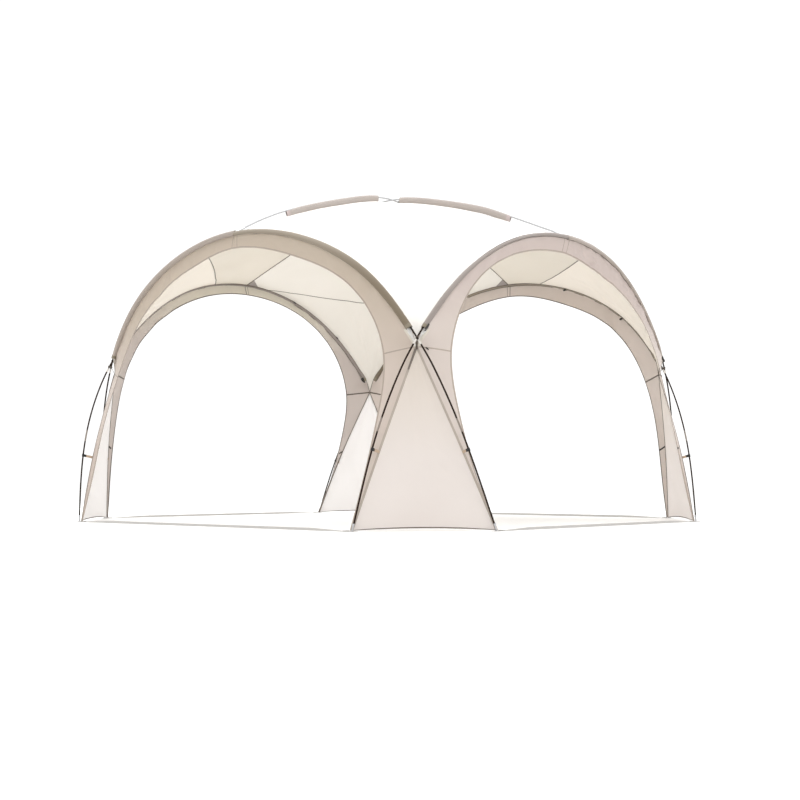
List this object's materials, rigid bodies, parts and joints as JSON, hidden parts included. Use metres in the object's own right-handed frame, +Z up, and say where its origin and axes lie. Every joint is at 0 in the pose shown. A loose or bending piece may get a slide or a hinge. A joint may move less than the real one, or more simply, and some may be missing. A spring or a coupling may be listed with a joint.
{
  "type": "dome canopy tent",
  "caption": "Open dome canopy tent: crossing arch poles and ridge poles over a cream cloth roof, with triangular leg panels and arched openings on every side.",
  "frame": {"origin": "on the ground, at the middle of the footprint", "axes": "+Z up; the front opening faces -Y, the back one +Y, the right one +X and the left one -X; +X is along the longer side of the footprint"},
  "size_m": [4.05, 3.838, 2.5364],
  "materials": {
    "pole": "satin black",
    "ridge_pole": "satin grey",
    "sleeve": "taupe woven polyester",
    "ridge_sleeve": "beige woven polyester",
    "roof": "cream woven polyester",
    "trim": "khaki beige woven polyester",
    "leg": "cream woven polyester",
    "webbing": "pale grey webbing",
    "tie": "black webbing",
    "hook": "tan webbing"
  },
  "bodies": {
    "root": {"front_arch_pole": "pole", "back_arch_pole": "pole", "right_arch_pole": "pole", "left_arch_pole": "pole", "front_to_back_ridge_pole": "ridge_pole", "side_to_side_ridge_pole": "ridge_pole", "front_arch_sleeve_right": "sleeve", "front_arch_sleeve_left": "sleeve", "back_arch_sleeve_right": "sleeve", "back_arch_sleeve_left": "sleeve", "right_arch_sleeve_front": "sleeve", "right_arch_sleeve_back": "sleeve", "left_arch_sleeve_front": "sleeve", "left_arch_sleeve_back": "sleeve", "ridge_sleeve_front": "ridge_sleeve", "ridge_sleeve_back": "ridge_sleeve", "ridge_sleeve_right": "ridge_sleeve", "ridge_sleeve_left": "ridge_sleeve", "roof_panel_front_right": "roof", "roof_panel_front_left": "roof", "roof_panel_back_right": "roof", "roof_panel_back_left": "roof", "front_opening_trim": "trim", "back_opening_trim": "trim", "right_opening_trim": "trim", "left_opening_trim": "trim", "leg_panel_front_right": "leg", "leg_panel_front_left": "leg", "leg_panel_back_right": "leg", "leg_panel_back_left": "leg", "front_ground_strap": "webbing", "back_ground_strap": "webbing", "right_ground_strap": "webbing", "left_ground_strap": "webbing", "crossing_tie_front_right": "tie", "crossing_tie_front_left": "tie", "crossing_tie_back_right": "tie", "crossing_tie_back_left": "tie", "hook_strap_front_right_front_pole": "hook", "hook_strap_front_right_right_pole": "hook", "hook_strap_front_left_front_pole": "hook", "hook_strap_front_left_left_pole": "hook", "hook_strap_back_right_back_pole": "hook", "hook_strap_back_right_right_pole": "hook", "hook_strap_back_left_back_pole": "hook", "hook_strap_back_left_left_pole": "hook"}
  },
  "joints": []
}
